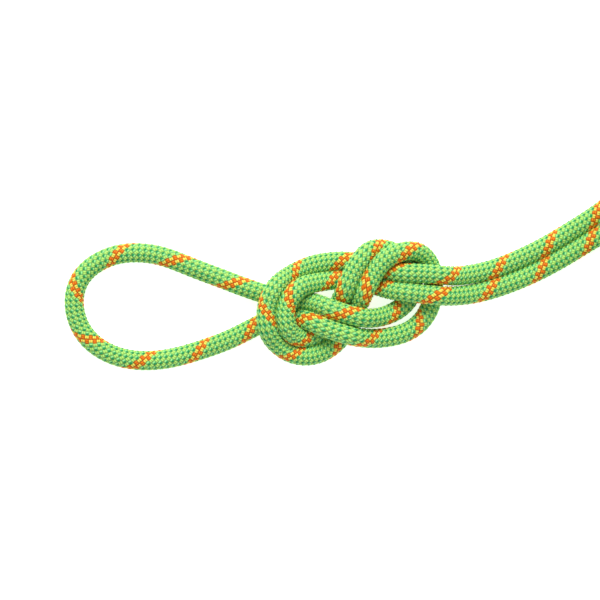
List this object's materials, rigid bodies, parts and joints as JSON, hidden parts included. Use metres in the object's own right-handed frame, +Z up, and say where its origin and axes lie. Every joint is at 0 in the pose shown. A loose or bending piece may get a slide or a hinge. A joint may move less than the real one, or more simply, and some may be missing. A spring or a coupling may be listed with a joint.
{
  "type": "dynamic climbing rope",
  "caption": "Braided dynamic climbing rope tied in a figure-eight on a bight, with a short tail and its length folded into a strapped hank.",
  "frame": {"origin": "on the surface the rope lies on, below the middle of its outline", "axes": "+X along the rope's outline from the loop to the hank, +Z up from the surface"},
  "size_m": [0.5928, 0.1496, 0.08],
  "materials": {
    "sheath": "braided nylon, lime green with teal flecks and one orange tracer",
    "core": "twisted nylon cord, matt",
    "tape": "thin polyester film",
    "fused_end": "melted nylon",
    "sleeve": "shrink film, satin",
    "strap": "woven hook-and-loop tape"
  },
  "bodies": {
    "root": {"sheath": "sheath", "hank": "sheath", "core_strand_middle": "core", "core_strand_1": "core", "core_strand_2": "core", "core_strand_3": "core", "core_strand_4": "core", "core_strand_5": "core", "core_strand_6": "core", "marker_tape": "tape", "fused_end_tail": "fused_end", "fused_end_hank": "fused_end", "end_sleeve_tail": "sleeve", "end_sleeve_hank": "sleeve", "hank_strap": "strap"}
  },
  "joints": []
}
